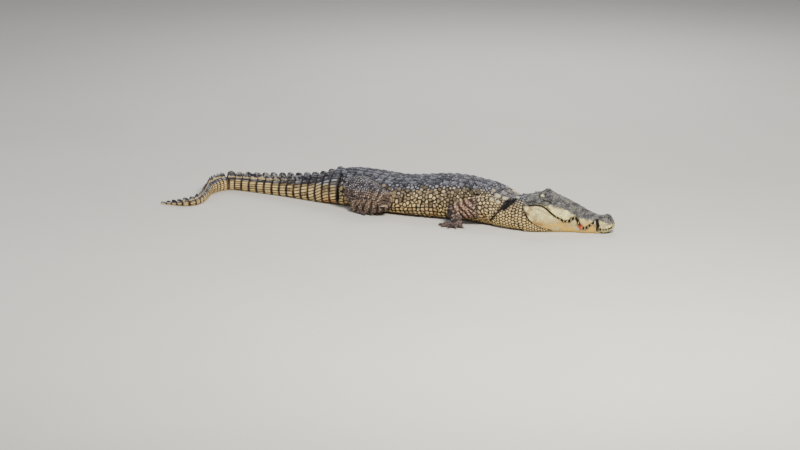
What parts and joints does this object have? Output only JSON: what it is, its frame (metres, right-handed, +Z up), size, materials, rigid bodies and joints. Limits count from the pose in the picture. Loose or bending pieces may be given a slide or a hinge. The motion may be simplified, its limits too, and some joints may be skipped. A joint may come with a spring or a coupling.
{
  "type": "crocodile",
  "caption": "Life-size still model of a mugger crocodile lying on its belly, mouth closed, legs folded at its sides and the tail end bent round.",
  "frame": {"origin": "bottom centre of the bounding box, on the floor the animal lies on", "axes": "+X towards the head, -Y towards the animal's right side, +Z up"},
  "size_m": [2.9065, 0.8794, 0.2596],
  "materials": {
    "head_hide": "satin",
    "jaw_hide": "satin",
    "back_hide": "satin",
    "tail_hide": "satin",
    "limb_hide": "satin",
    "eye": "gloss",
    "claw": "satin"
  },
  "bodies": {
    "root": {"head": "head_hide", "lower_jaw": "jaw_hide", "neck": "back_hide", "trunk_front": "back_hide", "trunk_rear": "back_hide", "tail_base": "tail_hide", "tail_middle": "tail_hide", "tail_bend": "tail_hide", "tail_end": "tail_hide", "eye_right": "eye", "upper_arm_right": "limb_hide", "forearm_right": "limb_hide", "hand_right": "limb_hide", "thigh_right": "limb_hide", "shank_right": "limb_hide", "foot_right": "limb_hide", "hand_claw_3_right": "claw", "hand_claw_4_right": "claw", "hand_claw_5_right": "claw", "foot_claw_1_right": "claw", "foot_claw_2_right": "claw", "foot_claw_3_right": "claw", "eye_left": "eye", "upper_arm_left": "limb_hide", "forearm_left": "limb_hide", "hand_left": "limb_hide", "thigh_left": "limb_hide", "shank_left": "limb_hide", "foot_left": "limb_hide", "hand_claw_3_left": "claw", "hand_claw_4_left": "claw", "hand_claw_5_left": "claw", "foot_claw_1_left": "claw", "foot_claw_2_left": "claw", "foot_claw_3_left": "claw"}
  },
  "joints": []
}
